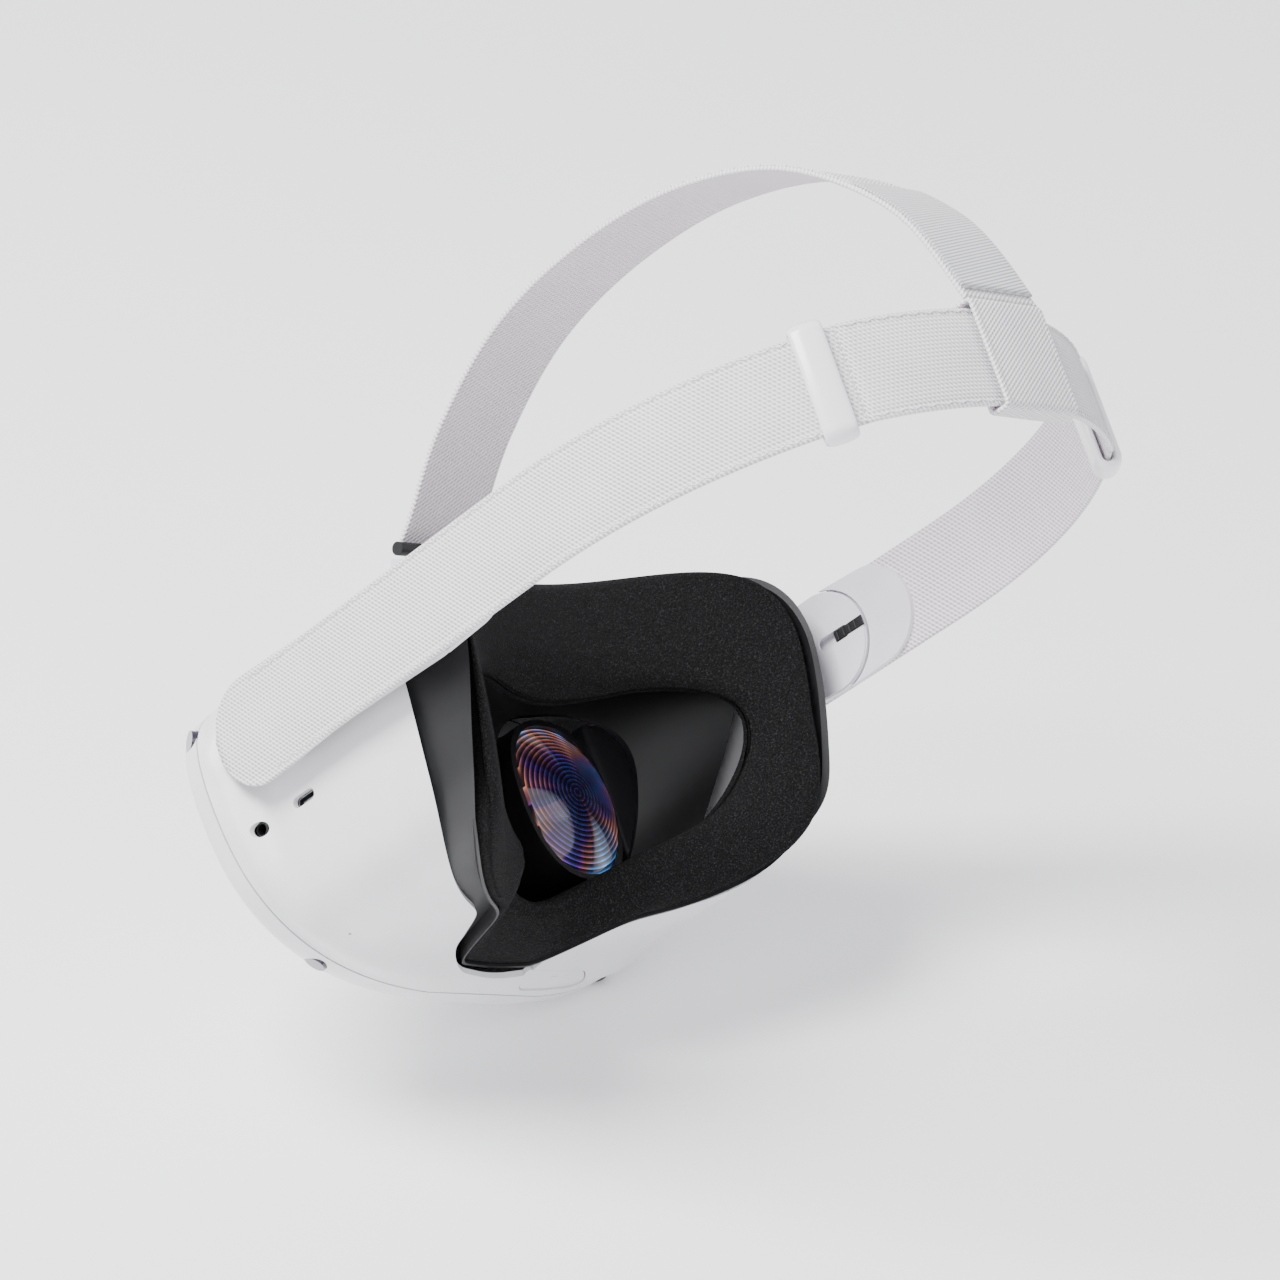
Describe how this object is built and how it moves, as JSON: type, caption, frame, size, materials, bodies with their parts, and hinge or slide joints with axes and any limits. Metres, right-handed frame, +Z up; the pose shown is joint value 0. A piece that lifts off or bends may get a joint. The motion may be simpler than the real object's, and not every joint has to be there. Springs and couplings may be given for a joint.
{
  "type": "virtual reality headset",
  "caption": "White stand-alone virtual reality headset with ringed lenses, black face foam, tilting side arms and a soft webbing harness over and round the head.",
  "frame": {"origin": "under the middle of the whole object, on the plane that the visor's flat underside rests on", "axes": "+X to the wearer's left, +Y back from the visor's front to the rear strap, +Z up"},
  "size_m": [0.1934, 0.2938, 0.1855],
  "materials": {
    "white_shell": "satin",
    "slider_white": "gloss",
    "seam_seal": "matte",
    "light_pipe": "translucent gloss",
    "socket_steel": "satin",
    "black_plastic": "matte",
    "frame_alloy": "satin",
    "screen_glass": "gloss",
    "circuit_board": "satin",
    "battery_wrap": "satin",
    "camera_glass": "gloss",
    "lens_glass": "polished, ringed",
    "shroud_rubber": "satin",
    "face_foam": "matte, speckled",
    "webbing": "woven twill",
    "hook_tape": "napped",
    "grey_plastic": "satin"
  },
  "bodies": {
    "visor": {"front_faceplate": "white_shell", "rear_housing": "white_shell", "parting_gasket": "seam_seal", "status_light": "light_pipe", "usb_c_socket": "socket_steel", "lens_guides": "socket_steel", "frame_screws": "socket_steel", "pivot_pin_left": "socket_steel", "pivot_pin_right": "socket_steel", "audio_socket": "black_plastic", "fan_housing": "black_plastic", "face_panel": "black_plastic", "bracket_arch": "black_plastic", "mid_frame": "frame_alloy", "heat_sink": "frame_alloy", "display_panel": "screen_glass", "proximity_sensor": "screen_glass", "main_board": "circuit_board", "battery": "battery_wrap", "camera_upper_left": "camera_glass", "camera_upper_right": "camera_glass", "camera_lower_left": "camera_glass", "camera_lower_right": "camera_glass", "bracket_legs": "grey_plastic"},
    "harness": {"arm_left": "grey_plastic", "arm_right": "grey_plastic", "arm_cover_left": "grey_plastic", "arm_cover_right": "grey_plastic", "speaker_left": "black_plastic", "speaker_right": "black_plastic", "strap_clip_left": "grey_plastic", "strap_clip_right": "grey_plastic", "side_strap_left": "webbing", "side_strap_right": "webbing", "rear_strap": "webbing", "top_strap": "webbing", "strap_tab": "hook_tape", "strap_loop": "webbing"},
    "left_lens_carriage": {"lens_carrier_left": "black_plastic", "lens_left": "lens_glass"},
    "right_lens_carriage": {"lens_carrier_right": "black_plastic", "lens_right": "lens_glass"},
    "pinion": {"spacing_pinion": "black_plastic"},
    "power_key": {"power_button": "white_shell"},
    "volume_key": {"volume_rocker": "white_shell"},
    "left_buckle": {"slider_left": "slider_white"},
    "right_buckle": {"slider_right": "slider_white"},
    "fan": {"fan_rotor": "black_plastic"},
    "face_interface": {"interface_frame": "shroud_rubber", "face_foam": "face_foam"}
  },
  "joints": [
    {"name": "harness_tilt", "type": "hinge", "parent": "visor", "child": "harness", "pos_m": [0, -0.1003, 0.0745], "axis": [1, 0, 0], "range_deg": [-10, 15], "deforming": ["top_strap"]},
    {"name": "left_lens_slide", "type": "slide", "parent": "visor", "child": "left_lens_carriage", "axis": [1, 0, 0], "range_m": [-0.0025, 0.0025]},
    {"name": "right_lens_slide", "type": "slide", "parent": "visor", "child": "right_lens_carriage", "axis": [1, 0, 0], "range_m": [-0.0025, 0.0025]},
    {"name": "pinion_turn", "type": "hinge", "parent": "visor", "child": "pinion", "pos_m": [0, -0.1218, 0.053], "axis": [0, 1, 0], "range_deg": [-24, 24]},
    {"name": "power_press", "type": "slide", "parent": "visor", "child": "power_key", "axis": [1, 0, 0], "range_m": [0, 0.0006], "stiffness_N_per_m": 400},
    {"name": "volume_rock", "type": "hinge", "parent": "visor", "child": "volume_key", "pos_m": [-0.028, -0.1227, 0.004], "axis": [0, 1, 0], "range_deg": [-1.2, 1.2], "stiffness_Nm_per_rad": 0.1},
    {"name": "left_buckle_slide", "type": "hinge", "parent": "harness", "child": "left_buckle", "pos_m": [-0.041, 0.02745, 0.0745], "axis": [0, 0, -1], "range_deg": [0, 28]},
    {"name": "right_buckle_slide", "type": "hinge", "parent": "harness", "child": "right_buckle", "pos_m": [0.041, 0.02745, 0.0745], "axis": [0, 0, 1], "range_deg": [0, 28]},
    {"name": "fan_spin", "type": "hinge", "parent": "visor", "child": "fan", "pos_m": [0, -0.1183, 0.0965], "axis": [0, 0, 1], "continuous": true},
    {"name": "face_interface_pull", "type": "slide", "parent": "visor", "child": "face_interface", "axis": [0, 1, 0], "range_m": [0, 0.02]}
  ],
  "couplings": [
    {"joint": "right_lens_slide", "follows": "left_lens_slide", "ratio": -1},
    {"joint": "pinion_turn", "follows": "left_lens_slide", "rad_per_m": 166.67}
  ]
}
